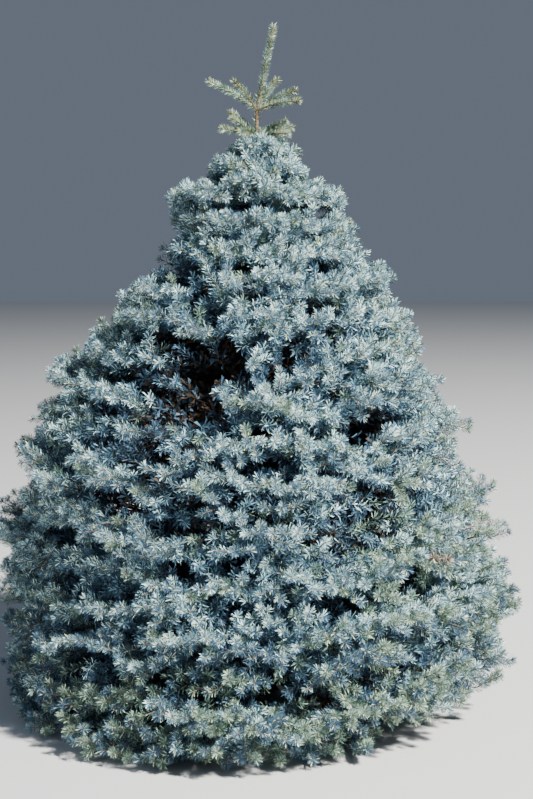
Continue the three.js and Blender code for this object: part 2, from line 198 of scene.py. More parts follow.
# hollows where the crown is open and dark: bearing in degrees, height, half their width and height, depth
hollows = [
    (-110, 1.26, 0.135, 0.06, 0.25), (-111, 1.18, 0.09, 0.045, 0.22), (-111, 1.1, 0.165, 0.062, 0.25),
    (-97, 1.22, 0.07, 0.04, 0.2), (-101, 1.09, 0.07, 0.035, 0.2), (-99, 0.755, 0.115, 0.045, 0.15),
    (-131, 0.3, 0.14, 0.045, 0.18), (-127, 0.805, 0.14, 0.055, 0.16), (-117, 0.47, 0.08, 0.03, 0.1),
    (-97, 0.625, 0.08, 0.03, 0.14), (-87, 0.26, 0.07, 0.025, 0.1), (-77, 0.35, 0.06, 0.03, 0.1),
    (-92, 1.31, 0.05, 0.03, 0.13), (-68, 0.7, 0.07, 0.035, 0.14), (-156, 0.25, 0.06, 0.06, 0.1),
    (-148, 0.63, 0.06, 0.045, 0.14), (-109, 0.83, 0.08, 0.03, 0.14), (-105, 0.32, 0.06, 0.025, 0.12),
    (-61, 1.01, 0.06, 0.04, 0.15), (-87, 0.925, 0.1, 0.035, 0.17), (-19, 0.87, 0.07, 0.035, 0.1),
    (-142, 0.95, 0.06, 0.045, 0.14), (-76, 0.76, 0.05, 0.028, 0.13), (-66, 0.77, 0.05, 0.025, 0.12),
    (-110, 1.49, 0.05, 0.03, 0.13), (-58, 1.34, 0.05, 0.03, 0.13), (-51, 1.16, 0.06, 0.028, 0.12),
    (-45, 0.84, 0.06, 0.028, 0.12), (-55, 0.9, 0.06, 0.025, 0.12), (-40, 0.75, 0.06, 0.026, 0.12),
    (-30, 0.52, 0.07, 0.028, 0.12), (-120, 0.89, 0.06, 0.03, 0.17), (-71, 0.51, 0.06, 0.045, 0.14),
    (-95, 1.16, 0.05, 0.035, 0.15), (-113, 1.51, 0.06, 0.03, 0.13), (-115, 0.86, 0.07, 0.03, 0.18),
    (-117, 1.04, 0.06, 0.035, 0.14), (-67, 0.76, 0.07, 0.035, 0.18), (-63, 0.7, 0.07, 0.035, 0.18),
    (-146, 1.19, 0.05, 0.03, 0.12), (-132, 1.08, 0.07, 0.035, 0.15), (-144, 1.04, 0.06, 0.03, 0.12),
    (-129, 1.38, 0.05, 0.03, 0.12), (-88, 0.22, 0.07, 0.035, 0.12), (-79, 1.27, 0.05, 0.03, 0.12),
    (-84, 0.65, 0.05, 0.03, 0.12), (-110, 1.05, 0.06, 0.035, 0.18), (-127, 0.99, 0.04, 0.03, 0.12),
    (-125, 1.34, 0.045, 0.028, 0.13), (-116, 1.0, 0.04, 0.025, 0.12), (-143, 1.21, 0.04, 0.03, 0.12),
    (-124, 1.18, 0.045, 0.025, 0.12), (-27, 0.05, 0.5, 0.115, 0.14), (180, 1.66, 0.25, 0.06, 0.03),
    (180, 1.55, 0.35, 0.07, 0.07), (0, 1.45, 0.3, 0.06, 0.05), (0, 1.2, 0.3, 0.045, 0.06),
    (0, 0.85, 0.3, 0.03, 0.04),
]
# pads that stand out of the crown's skin: the same, and how far
pads = [
    (180, 1.8, 0.25, 0.06, 0.07), (180, 1.2, 0.35, 0.08, 0.1), (180, 0.65, 0.35, 0.1, 0.07),
    (180, 0.42, 0.35, 0.1, 0.03), (0, 1.9, 0.2, 0.08, 0.03), (0, 1.72, 0.25, 0.11, 0.065),
    (0, 0.94, 0.3, 0.05, 0.1), (0, 0.77, 0.35, 0.05, 0.09), (0, 0.64, 0.35, 0.075, 0.11),
    (0, 0.37, 0.35, 0.07, 0.07), (-105, 0.45, 0.16, 0.07, 0.03), (-80, 0.62, 0.2, 0.05, 0.03),
]
# a few more hollows, dealt out round the far side
farHollows = {
    "count": 14,
    "firstBearing": -20,
    "bearings": 210,
    "heights": (0.3, 1.4),
    "halfWidths": (0.05, 0.11),
    "halfHeight": 0.035,
    "depth": 0.15,
}
for i in range(farHollows["count"]):
    bearing = farHollows["firstBearing"] + farHollows["bearings"] * (i + draw(i, 61)) / farHollows["count"]
    height = between(*farHollows["heights"], i, 62)
    wide = between(*farHollows["halfWidths"], i, 63)
    hollows.append((bearing, height, wide, farHollows["halfHeight"], farHollows["depth"]))


def reliefAt(places, z, angle, radius):
    # full depth well inside a hollow or pad, none at its edge and beyond
    deepest = 0
    for bearing, height, wide, tall, depth in places:
        if abs(z - height) < tall:
            across = radius * math.remainder(angle - math.radians(bearing), 2 * math.pi)
            left = 1 - (across / wide) ** 2 - ((z - height) / tall) ** 2
            deepest = max(deepest, depth * min(1, 2 * left))
    return deepest


def insetAt(z, angle, radius):
    # how far inside the skin the foliage ends, less than nothing where a pad stands out
    return reliefAt(hollows, z, angle, radius) - reliefAt(pads, z, angle, radius)


def tierFace(k, radius, angle):
    # height of the face under tier k
    face = tiers[k] if k < len(tiers) else topFace
    turn = crown["tierWaves"] * angle + crown["waveShift"] * k
    wave = 0 if k == 0 else crown["tierWobble"] * radius / crown["spread"] * math.sin(turn)
    return face["foot"] + face["rise"] * radius + wave


def tierMiddle(k, radius, angle):
    return (tierFace(k, radius, angle) + tierFace(k + 1, radius, angle)) / 2


def tierReach(k, angle):
    inside, outside = 0, 2 * crown["spread"]
    while outside - inside > crown["reachTolerance"]:
        radius = (inside + outside) / 2
        if radius < skinRadius(tierMiddle(k, radius, angle), angle):
            inside = radius
        else:
            outside = radius
    return inside


def polar(radius, angle, z):
    return Vector((radius * math.cos(angle), radius * math.sin(angle), z))


def spaceOf(k, index):
    share = 2 * math.pi / tiers[k]["masses"]
    middle = math.radians(tiers[k]["turn"]) + index * share
    return {"k": k, "index": index, "middle": middle, "half": share / 2, "reach": tierReach(k, middle)}


def depthOf(point):
    # how far a point lies inside the crown's skin
    return skinRadius(point.z, math.atan2(point.y, point.x)) - math.hypot(point.x, point.y)


def holds(space, point, skinSlack):
    radius = math.hypot(point.x, point.y)
    angle = math.atan2(point.y, point.x)
    off = math.remainder(angle - space["middle"], 2 * math.pi)
    loose = growth["overlap"]
    if radius * (space["half"] - abs(off)) < -loose:
        return False
    lowest = tierFace(space["k"], radius, angle) - loose
    if point.z < max(lowest, growth["lowestTwig"]):
        return False
    if point.z > tierFace(space["k"] + 1, radius, angle) + loose:
        return False
    return radius < skinRadius(point.z, angle) - insetAt(point.z, angle, radius) + skinSlack


def stemPoint(space, radius):
    angle = space["middle"] + crown["stemSway"] * math.sin(radius / crown["stemBend"] + space["index"])
    return polar(radius, angle, tierMiddle(space["k"], radius, angle))


# Growth: from each mass's stem, carried on to yearly shoots

growth = {
    "year": 0.098,  # length of one year's shoot
    "yearShare": 0.24,  # the same as a share of the reach, where that is less
    "stretch": (0.88, 1.1),  # what a year's shoot makes of that
    "shorter": (1, 0.8, 0.6),  # shares of it that are tried where the space ends
    "orders": 3,  # limbs are the first, their side twigs the second and third
    "stemStart": 0.006,  # of a mass without a bough
    "stemReach": 0.7,  # where stems end, as a share of the reach
    "stemParts": 8,
    "stemAge": 3,  # years of its last part
    "rowHeights": (0.25, 0.75),  # where limbs meet the crown's skin, as shares of the tier's thickness
    "topRow": (1.05,),  # one more, over the highest tier
    "rowOffsets": (0.25, 0.75, 0.25),  # of their first limb, as shares of the gap to the next
    "padLimbs": 4,  # neighbours in a row that keep together as one arched pad
    "padRise": 0.09,  # how far a pad may stand above or below its row, as a share of the thickness
    "padArch": 0.1,  # how much lower its outer limbs are
    "limbRise": 0.06,  # the same of a limb in its pad
    "limbJitter": 0.4,  # and to its sides, as a share of half the gap between neighbours
    "limbSpacing": 0.108,  # between the tips of neighbouring limbs of a row
    "limbSpacingShare": 0.26,  # the same as a share of the reach, where that is less
    "limbFoot": (0.12, 0.3),  # where limbs leave the stem, as shares of the reach, outside the boughs
    "limbBend": 0.42,  # share of its span over which a limb turns to its tip's direction
    "leastYears": 2,
    "tipRise": 24,  # degrees above level that a limb's end points
    "tipSwing": (-24, 18),  # what a limb adds to that
    "twigSwing": 14,  # and a twig, up or down
    "yearlyBend": 0.25,  # share of the way there that a twig turns each year
    "wander": (6, 4),  # degrees that it also turns, sideways and up or down
    "beyond": 0.026,  # how far the furthest limbs end outside the skin
    "recess": 0.08,  # how much further in other pads end
    "ownRecess": 0.3,  # share of that by which a limb ends further in than its pad
    "tipClearance": 0.01,  # of a limb's end over the lowest twig
    "missing": 0.05,  # share of limbs that are not there
    "sideAngle": 40,
    "sideJitter": 8,
    "sideTilt": (-38, 28),  # degrees that side twigs stand above the level of their fan
    "sideShare": 0.92,  # a side twig's years as a share of those that its parent still grows
    "sideStretch": (0.75, 1.05),
    "sideLeast": 0.5,  # years
    "sideMost": 2.6,
    "fanYears": 3,  # a limb bears side twigs on its last years only
    "roll": 22,  # degrees that a limb's fan may be tipped to one side
    "extraYears": 3,  # younger nodes may also bear a shoot above or below
    "extraShare": 0.8,  # share of those that do
    "extraAbove": 0.6,  # share of these shoots that stand above
    "extraTilts": (34, -30),  # degrees, above and below
    "extraTurn": 20,
    "extraLength": 0.9,  # years
    "overlap": 0.1,  # how far the twigs of neighbouring masses mingle
    "lowestTwig": 0.024,  # needles hang a little lower
    "bareDepth": 0.56,  # further inside the crown the twigs are bare
    "singleDepth": 0.03,  # how far inside the skin the single limbs end
    "singleFoot": 0.25,  # where they leave the stem, as a share of the reach
    "innerTwigs": 24,  # straight from the trunk, on every mass
    "innerFoot": 0.02,  # where they start, from the axis
    "innerLowest": 0.06,
    "innerRise": (-12, 30),
    "innerReach": 0.82,  # their length as a share of the reach
}
# single limbs that close gaps between the rows: bearing and height of their tips
singleLimbs = [
    (-94, 0.4), (-88, 0.39), (-111, 0.5), (-106, 0.51), (-95, 0.69), (-84, 0.82), (-110, 0.96), (-79, 0.51),
    (-59, 0.56), (-83, 1.2),
]
shoots = []


def turned(direction, sideways, rise):
    # direction turned sideways in its own level fan, then raised, in degrees
    side = upward.cross(direction).normalized()
    level = direction * math.cos(math.radians(sideways)) + side * math.sin(math.radians(sideways))
    flat = Vector((level.x, level.y, 0)).normalized()
    elevation = math.asin(max(-1, min(1, level.z))) + math.radians(rise)
    return flat * math.cos(elevation) + upward * math.sin(elevation)


def bent(direction, towards, share):
    elevation = math.asin(max(-1, min(1, direction.z)))
    return turned(direction, 0, (towards - math.degrees(elevation)) * share)


def addShoot(space, start, end, order, age):
    shoots.append({
        "space": space,
        "start": start,
        "end": end,
        "order": order,
        "age": age,
        "depth": depthOf((start + end) / 2),
        "serial": len(shoots),
    })


def yearOf(space):
    return min(growth["year"], growth["yearShare"] * space["reach"])


def growSides(space, at, direction, left, step, order, slack, roll, keys):
    # a pair of side twigs behind what their parent still grows
    years = min(growth["sideMost"], growth["sideShare"] * left)
    if order >= growth["orders"] or years < growth["sideLeast"] or left > growth["fanYears"]:
        return
    jitter, turn = growth["sideJitter"], growth["extraTurn"]
    for side in (-1, 1):
        angle = side * (growth["sideAngle"] + between(-jitter, jitter, *keys, side + 1, 35))
        tilt = side * roll + between(*growth["sideTilt"], *keys, side + 1, 36)
        length = years * step * between(*growth["sideStretch"], *keys, side + 1, 37)
        growTwig(space, at, turned(direction, angle, tilt), length, order + 1, slack, (*keys, side + 1))
    if left < growth["extraYears"] and draw(*keys, 38) < growth["extraShare"]:
        above, below = growth["extraTilts"]
        tilt = above if draw(*keys, 39) < growth["extraAbove"] else below
        extra = turned(direction, between(-turn, turn, *keys, 40), tilt)
        growTwig(space, at, extra, growth["extraLength"] * step, growth["orders"], slack, (*keys, 5))


def growTwig(space, start, direction, length, order, slack, keys):
    years = max(1, round(length / yearOf(space)))
    step = length / years
    at = start
    swing = growth["twigSwing"]
    sideways, upDown = growth["wander"]
    tipRise = growth["tipRise"] + between(-swing, swing, *keys, 31)
    for year in range(years):
        left = years - year - 1
        direction = bent(direction, tipRise, growth["yearlyBend"])
        sidestep = between(-sideways, sideways, *keys, year, 32)
        direction = turned(direction, sidestep, between(-upDown, upDown, *keys, year, 33))
        ahead = direction * step * between(*growth["stretch"], *keys, year, 34)
        share = next((share for share in growth["shorter"] if holds(space, at + ahead * share, slack)), 0)
        if not share:
            break
        end = at + ahead * share
        addShoot(space, at, end, order, left)
        growSides(space, end, direction, left, step, order, slack, 0, (*keys, year))
        at = end


def outwardOf(point):
    return Vector((point.x, point.y, 0)).normalized()


def growLimb(space, start, target, slack, keys):
    # a limb curves from the mass's stem to a place on the crown's skin, where it points outwards and up
    outward = outwardOf(target)
    rise = math.radians(growth["tipRise"] + between(*growth["tipSwing"], *keys, 5))
    roll = between(-growth["roll"], growth["roll"], *keys, 7)
    span = (target - start).length
    bend = target - (outward * math.cos(rise) + upward * math.sin(rise)) * span * growth["limbBend"]
    years = max(growth["leastYears"], round(span / yearOf(space)))
    places = []
    for i in range(years + 1):
        t = i / years
        place = start * (1 - t) ** 2 + bend * 2 * t * (1 - t) + target * t**2
        place.z = max(place.z, growth["lowestTwig"])
        places.append(place)
    for year in range(years):
        at, end = places[year], places[year + 1]
        left = years - year - 1
        addShoot(space, at, end, 1, left)
        growSides(space, end, (end - at).normalized(), left, span / years, 1, slack, roll, (*keys, year))


def limbTarget(space, angle, heightShare, slack):
    # where a limb aimed that way meets the crown's skin
    radius = space["reach"]
    for _ in range(5):
        low, high = tierFace(space["k"], radius, angle), tierFace(space["k"] + 1, radius, angle)
        z = max(growth["lowestTwig"] + growth["tipClearance"], lerp(low, high, heightShare))
        radius = (radius + skinRadius(z, angle) + slack) / 2
    return polar(radius, angle, z)


def growMass(space):
    # the stem, and limbs that leave it in rows and fan out to the crown's skin
    k, index, reach = space["k"], space["index"], space["reach"]
    first = crown["boughShare"] * reach if k < 2 else growth["stemStart"]
    parts = growth["stemParts"]
    stops = [lerp(first, growth["stemReach"] * reach, i / parts) for i in range(parts + 1)]
    for i in range(parts):
        age = growth["stemAge"] + parts - 1 - i
        addShoot(space, stemPoint(space, stops[i]), stemPoint(space, stops[i + 1]), 0, age)
    spacing = min(growth["limbSpacing"], growth["limbSpacingShare"] * reach)
    count = round(2 * space["half"] * reach / spacing)
    rows = growth["rowHeights"] + (growth["topRow"] if k == len(tiers) - 1 else ())
    jitter, padRise, limbRise = growth["limbJitter"], growth["padRise"], growth["limbRise"]
    for row, heightShare in enumerate(rows):
        for n in range(count):
            keys = (k, index, row, n)
            if draw(*keys, 6) < growth["missing"]:
                continue
            pad = (k, index, row, n // growth["padLimbs"])
            place = (n + growth["rowOffsets"][row]) / count * 2 - 1
            angle = space["middle"] + space["half"] * (place + between(-jitter, jitter, *keys, 1) / count)
            slack = growth["beyond"] - growth["recess"] * draw(*pad, 44)
            slack -= growth["ownRecess"] * growth["recess"] * draw(*keys, 4)
            rise = between(-padRise, padRise, *pad, 46) + between(-limbRise, limbRise, *keys, 2)
            rise -= growth["padArch"] * abs(n % growth["padLimbs"] - (growth["padLimbs"] - 1) / 2)
            target = limbTarget(space, angle, heightShare + rise, slack)
            target -= outwardOf(target) * insetAt(target.z, angle, target.xy.length)
            foot = max(first, reach * between(*growth["limbFoot"], *keys, 3))
            growLimb(space, stemPoint(space, foot), target, slack, keys)
    foot = stemPoint(space, max(first, growth["singleFoot"] * reach))
    for n, (bearing, height) in enumerate(singleLimbs):
        angle = math.radians(bearing)
        inReach = abs(math.remainder(angle - space["middle"], 2 * math.pi)) < space["half"]
        if inReach and tierFace(k, reach, angle) < height < tierFace(k + 1, reach, angle):
            target = polar(skinRadius(height, angle) - growth["singleDepth"], angle, height)
            growLimb(space, foot, target, 0, (k, index, n, 47))
    for n in range(growth["innerTwigs"]):
        angle = space["middle"] + space["half"] * between(-1, 1, k, index, n, 41)
        share = (n + 0.5) / growth["innerTwigs"]
        z = max(growth["innerLowest"], lerp(tierFace(k, 0, angle), tierFace(k + 1, 0, angle), share))
        away = turned(polar(1, angle, 0), 0, between(*growth["innerRise"], k, index, n, 42))
        start, length = polar(growth["innerFoot"], angle, z), growth["innerReach"] * reach
        growTwig(space, start, away, length, growth["orders"], 0, (k, index, n, 43))


spaces = [spaceOf(k, index) for k in range(len(tiers)) for index in range(tiers[k]["masses"])]
for space in spaces:
    growMass(space)
foliated = [shoot for shoot in shoots if shoot["order"] and shoot["depth"] < growth["bareDepth"]]
print("growth: %d shoots, %d with needles" % (len(shoots), len(foliated)))


# Materials

look = {
    "barkRoughness": 0.9,
    "crackWidth": 0.16,
    "weatherScale": 0.4,  # of the noise against the plates
    "weatherDetail": 6,
    "needleRoughness": 0.55,
    "needleSpecular": 0.35,
}


def barkMaterial(name, dark, pale, scale, bumpHeight):
    # scaly bark: plates from a Voronoi pattern, weathered by noise, in object coordinates
    material = plainMaterial(name, pale, look["barkRoughness"])
    nodes, links = material.node_tree.nodes, material.node_tree.links
    surface = nodes["Principled BSDF"]
    place = nodes.new("ShaderNodeTexCoord")
    plates = nodes.new("ShaderNodeTexVoronoi")
    plates.feature = "DISTANCE_TO_EDGE"
    plates.inputs["Scale"].default_value = scale
    weather = nodes.new("ShaderNodeTexNoise")
    weather.inputs["Scale"].default_value = scale * look["weatherScale"]
    weather.inputs["Detail"].default_value = look["weatherDetail"]
    crack = nodes.new("ShaderNodeMapRange")
    crack.inputs["From Max"].default_value = look["crackWidth"]
    shade = nodes.new("ShaderNodeMix")
    shade.data_type = "RGBA"
    shade.inputs["A"].default_value = (*dark, 1)
    shade.inputs["B"].default_value = (*pale, 1)
    factor = nodes.new("ShaderNodeMath")
    factor.operation = "MULTIPLY"
    bump = nodes.new("ShaderNodeBump")
    bump.inputs["Distance"].default_value = bumpHeight
    wires = [
        (place, "Object", plates, "Vector"),
        (place, "Object", weather, "Vector"),
        (plates, "Distance", crack, "Value"),
        (crack, "Result", factor, 0),
        (weather, "Fac", factor, 1),
        (factor, "Value", shade, "Factor"),
        (shade, "Result", surface, "Base Color"),
        (factor, "Value", bump, "Height"),
        (bump, "Normal", surface, "Normal"),
    ]
    for giver, output, taker, socket in wires:
        links.new(giver.outputs[output], taker.inputs[socket])
    return material


needleTints = {
    "frost": (0.58, 0.84, 0.85),
    "cream": (0.6, 0.71, 0.52),
    "silver": (0.165, 0.31, 0.385),
    "steel": (0.065, 0.14, 0.215),
    "slate": (0.042, 0.09, 0.145),
    "sage": (0.24, 0.38, 0.33),
    "moss": (0.09, 0.15, 0.12),
    "leaf": (0.2, 0.3, 0.22),
    "olive": (0.3, 0.31, 0.15),
    "rust": (0.38, 0.27, 0.25),
    "umber": (0.034, 0.025, 0.019),
}
tintNames = list(needleTints)


def needleMaterial(name):
    material = plainMaterial("needles_" + name, needleTints[name], look["needleRoughness"])
    surface = material.node_tree.nodes["Principled BSDF"]
    surface.inputs["Specular IOR Level"].default_value = look["needleSpecular"]
    return material


needleMaterials = [needleMaterial(name) for name in tintNames]
woodMaterials = [
    plainMaterial("oldTwig", (0.036, 0.026, 0.02), 0.9),
    plainMaterial("tanTwig", (0.21, 0.15, 0.1), 0.7),
]
print("materials: done")


# Joined meshes

def joinedMesh(name, points, faces, materials, faceMaterials):
    # one flat-shaded piece from points (n, 3), faces (m, corners) and one material index a face
    mesh = bpy.data.meshes.new(name)
    corners = faces.shape[1]
    mesh.vertices.add(len(points))
    mesh.vertices.foreach_set("co", points.astype(np.float32).ravel())
    mesh.loops.add(faces.size)
    mesh.loops.foreach_set("vertex_index", faces.astype(np.int32).ravel())
    mesh.polygons.add(len(faces))
    mesh.polygons.foreach_set("loop_start", np.arange(0, faces.size, corners, dtype=np.int32))
    for material in materials:
        mesh.materials.append(material)
    mesh.polygons.foreach_set("material_index", faceMaterials.astype(np.int32))
    mesh.polygons.foreach_set("use_smooth", np.zeros(len(faces), bool))
    mesh.update(calc_edges=True)
    piece = bpy.data.objects.new(name, mesh)
    bpy.context.scene.collection.objects.link(piece)
    return piece


needle = {
    "length": 0.0265,
    "lengths": (0.74, 1.1),  # shares of that
    "width": 0.003,
    "widestAt": 0.76,  # along a flat needle
    "tipWidth": 0.5,  # of a flat needle, as a share of its width
    "bellyAt": 0.42,  # the widest place along a folded needle
    "fold": 0.35,
    "perShoot": 225,
    "fewest": 6,
    "spiral": 137.5,  # degrees round the shoot from one needle to the next
    "spiralJitter": 0.12,  # radians
    "lean": 58,  # degrees between a needle and its shoot
    "leanJitter": 5,
    "domeShare": 0.22,  # share of an end shoot's needles that stand round its tip
    "domeSpan": 0.05,  # share of the shoot that these stand on
    "leanInDome": (10, 64),
    "upwardBend": 0.1,
    "twist": 32,  # degrees by which needles are turned about their own length
    "otherShare": 0.5,  # share of a spray's needles that have its second tint
    "shadeBelowShare": 0.7,  # the same of needles that point down: painted shade on the undersides, partly their lesser bloom
    "downward": -0.15,  # upward part of their heading, at most
    "creamShare": 0.12,  # share of an outer, lit spray's needles that are yellowish: partly yellowish needles, partly painted sunlit highlight
    "groundClearance": 0.004,  # a needle that would hang lower turns up
    "firstSeed": 100,
}
# how far inside the crown's skin each kind of shoot reaches, and its needles' number, breadth and length
dressing = [(0.07, 1.0, 1.0, 1.0), (0.12, 0.5, 1.25, 1.0), (0.22, 0.22, 1.8, 1.1), (1.0, 0.058, 4.8, 1.5)]


def arrayOf(chosen, key):
    return np.array([shoot[key] for shoot in chosen], float)


def unit(vectors):
    return vectors / np.linalg.norm(vectors, axis=1, keepdims=True)


def frameAcross(axis):
    # two directions across each axis
    reference = np.where(np.abs(axis[:, 2:3]) > 0.9, [[1.0, 0, 0]], [[0, 0, 1.0]])
    side = unit(np.cross(reference, axis))
    return side, np.cross(axis, side)


def needleSet(chosen, random, folded):
    # points, faces and tints of all needles on the chosen shoots, each one flat face or two folded ones
    counts = np.array([shoot["needles"] for shoot in chosen])
    owner = np.repeat(np.arange(len(chosen)), counts)
    order = np.arange(len(owner)) - np.repeat(np.cumsum(counts) - counts, counts)
    share = (order + random.random(len(owner))) / counts[owner]
    dome = arrayOf(chosen, "tipped")[owner] * needle["domeShare"]
    inDome = share > 1 - dome
    share = np.where(inDome, 1 - needle["domeSpan"] * random.random(len(owner)), share / (1 - dome))
    start, end = arrayOf(chosen, "start"), arrayOf(chosen, "end")
    axis = unit(end - start)
    side, over = frameAcross(axis)
    around = order * math.radians(needle["spiral"]) + random.normal(0, needle["spiralJitter"], len(owner))
    outward = side[owner] * np.cos(around)[:, None] + over[owner] * np.sin(around)[:, None]
    evenly = np.cos(np.radians(needle["leanInDome"]))
    evenly = np.degrees(np.arccos(random.uniform(evenly[1], evenly[0], len(owner))))
    lean = np.where(inDome, evenly, needle["lean"])
    lean = np.radians(lean + random.normal(0, needle["leanJitter"], len(owner)))
    heading = axis[owner] * np.cos(lean)[:, None] + outward * np.sin(lean)[:, None]
    heading[:, 2] += needle["upwardBend"]
    heading = unit(heading)
    base = start[owner] + (end - start)[owner] * share[:, None]
    length = needle["length"] * random.uniform(*needle["lengths"], len(owner))
    length = length * arrayOf(chosen, "fullness")[owner]
    lowest = (base + heading * length[:, None])[:, 2]
    heading[:, 2] = np.where(lowest < needle["groundClearance"], np.abs(heading[:, 2]), heading[:, 2])
    across = unit(np.cross(heading, outward))
    face = np.cross(across, heading)
    twist = np.radians(random.normal(0, needle["twist"], len(owner)))[:, None]
    across, face = (
        across * np.cos(twist) + face * np.sin(twist),
        face * np.cos(twist) - across * np.sin(twist),
    )
    half = 0.5 * needle["width"] * arrayOf(chosen, "breadth")[owner][:, None]
    tip = base + heading * length[:, None]
    corner = np.arange(len(owner))[:, None]
    if folded:
        belly = base + heading * (needle["bellyAt"] * length)[:, None] - face * half * needle["fold"]
        points = np.stack([base, belly - across * half, belly + across * half, tip], 1)
        faces = np.concatenate([4 * corner + [0, 2, 3], 4 * corner + [0, 3, 1]], 1).reshape(-1, 3)
    else:
        # widest near its end, where the bloom is palest
        belly = base + heading * (needle["widestAt"] * length)[:, None] - across * half
        points = np.stack([base, belly, tip + across * half * needle["tipWidth"]], 1)
        faces = 3 * corner + [0, 1, 2]
    tint = arrayOf(chosen, "tint")[owner].astype(int)
    other = arrayOf(chosen, "otherTint")[owner].astype(int)
    chance = random.random(len(owner))
    # needles pointing down take the darker second tint more often: painted shade on the pads' undersides,
    # partly their lesser bloom
    shaded = np.where(heading[:, 2] < needle["downward"], needle["shadeBelowShare"], needle["otherShare"])
    tint = np.where(chance < shaded, other, tint)
    # outer sprays get some yellowish needles: partly their own colour, partly painted sunlit highlight
    pale = arrayOf(chosen, "pale")[owner] * needle["creamShare"]
    tint = np.where(chance > 1 - pale, tintNames.index("cream"), tint)
    return points.reshape(-1, 3), faces, np.repeat(tint, 2 if folded else 1)


tinting = {
    # a tuft and two flecks of dead needles: where, and how far round it
    "dead": (((0.58, -0.58, 0.643), 0.055), ((0.317, -0.397, 1.436), 0.03), ((0.129, -0.604, 1.239), 0.03)),
    # the tints darken further inside the crown's skin and in its hollows: partly older needles, partly
    # painted shade
    "youngDepth": 0.16,  # how far inside the skin the end shoots have their full bloom
    "paleDepth": 0.2,  # and any shoots have some
    "dimDepth": 0.26,
    "darkDepth": 0.32,  # further in all is brown: old dead needles, and painted shade deep in the crown
    "green": 0.1,  # share of sprays that are green
    "rightFrom": 0.3,  # more are so on the right, below a height
    "greenFoot": 0.75,
    "greenRight": 0.4,
    "frontFrom": -0.5,  # and in front, further down
    "frontFoot": 0.3,
    "greenFront": 0.5,
    "shadedFoot": 0.4,  # below this fewer sprays are frosty, and some take dark tints: painted shade towards the foot
    "frosty": 0.6,
    "frostyFoot": 0.25,
    "shadedShare": 0.4,
    "paler": 0.5,  # share of the older and inner sprays that have the paler of two tints
}


def tintOf(shoot):
    # main and second tint of a spray
    middle = (shoot["start"] + shoot["end"]) / 2
    serial, depth = shoot["serial"], shoot["depth"]
    if any((middle - Vector(place)).length < reach for place, reach in tinting["dead"]):
        return "rust", "umber"
    green = tinting["green"]
    if middle.x > tinting["rightFrom"] and middle.z < tinting["greenFoot"]:
        green = tinting["greenRight"]
    if middle.y < tinting["frontFrom"] and middle.z < tinting["frontFoot"]:
        green = tinting["greenFront"]
    if depth < tinting["paleDepth"] and draw(serial, 52) < green:
        return "sage", "moss"
    chance = draw(serial, 51)
    if shoot["age"] == 0 and depth < tinting["youngDepth"]:
        # low young sprays are darker: painted shade towards the foot
        low = middle.z < tinting["shadedFoot"]
        if low and draw(serial, 53) < tinting["shadedShare"]:
            return "steel", "slate"
        frosty = tinting["frostyFoot"] if low else tinting["frosty"]
        return ("frost", "steel") if chance < frosty else ("silver", "slate")
    # older and inner sprays take darker tints the further in they lie: partly older needles, partly painted
    # shade inside the crown
    if depth < tinting["paleDepth"]:
        return ("silver", "slate") if chance < tinting["paler"] else ("steel", "slate")
    if depth < tinting["dimDepth"]:
        return ("steel", "slate") if chance < tinting["paler"] else ("slate", "umber")
    return "umber", "slate" if depth < tinting["darkDepth"] else "umber"


def dressShoot(shoot):
    first, second = tintOf(shoot)
    shoot["tint"], shoot["otherTint"] = tintNames.index(first), tintNames.index(second)
    kind = next(kind for kind in dressing if shoot["depth"] < kind[0])
    _, number, shoot["breadth"], shoot["fullness"] = kind
    length = (shoot["end"] - shoot["start"]).length
    shoot["needles"] = max(needle["fewest"], round(needle["perShoot"] * number * length / growth["year"]))
    shoot["tipped"] = 1.0 if shoot["age"] == 0 else 0.0
    shoot["pale"] = 1.0 if shoot["depth"] < dressing[1][0] else 0.0


for shoot in foliated:
    dressShoot(shoot)
print("needles: %d" % sum(shoot["needles"] for shoot in foliated))

for k, tier in enumerate(tiers):
    inTier = [space for space in spaces if space["k"] == k]
    split = tier["masses"] // 2
    for half, owned in enumerate((inTier[:split], inTier[split:])):
        chosen = [shoot for shoot in foliated if shoot["space"] in owned]
        random = np.random.default_rng(needle["firstSeed"] + 2 * k + half)
        points, faces, tints = needleSet(chosen, random, False)
        name = "%sNeedles_%d" % (tier["name"], half + 1)
        piece = joinedMesh(name, points, faces, needleMaterials, tints)
        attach(piece, "root")
        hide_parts(*["%s_mass_%d" % (tier["name"], space["index"] + 1) for space in owned])
        print(piece.name, len(faces))


# Twigs and buds

wood = {
    "stemFoot": 0.009,
    "stemTip": 0.005,
    "young": 0.0011,
    "yearly": 0.0011,  # a twig's radius grows by this every year
    "tanDepth": 0.12,  # young twigs are tan and have buds this far inside the crown's skin
    "limbSides": 5,
    "twigSides": 3,
    "budLength": 0.009,
    "budRadius": 0.0032,
    "budBelly": 0.35,  # where it is widest, as a share of its length
    "budSeat": 0.001,  # how far it is sunk into the shoot's end
}


def radiusOf(shoot, age):
    if shoot["order"] == 0:
        return lerp(wood["stemTip"], wood["stemFoot"], (age - growth["stemAge"]) / growth["stemParts"])
    return wood["young"] + wood["yearly"] * age


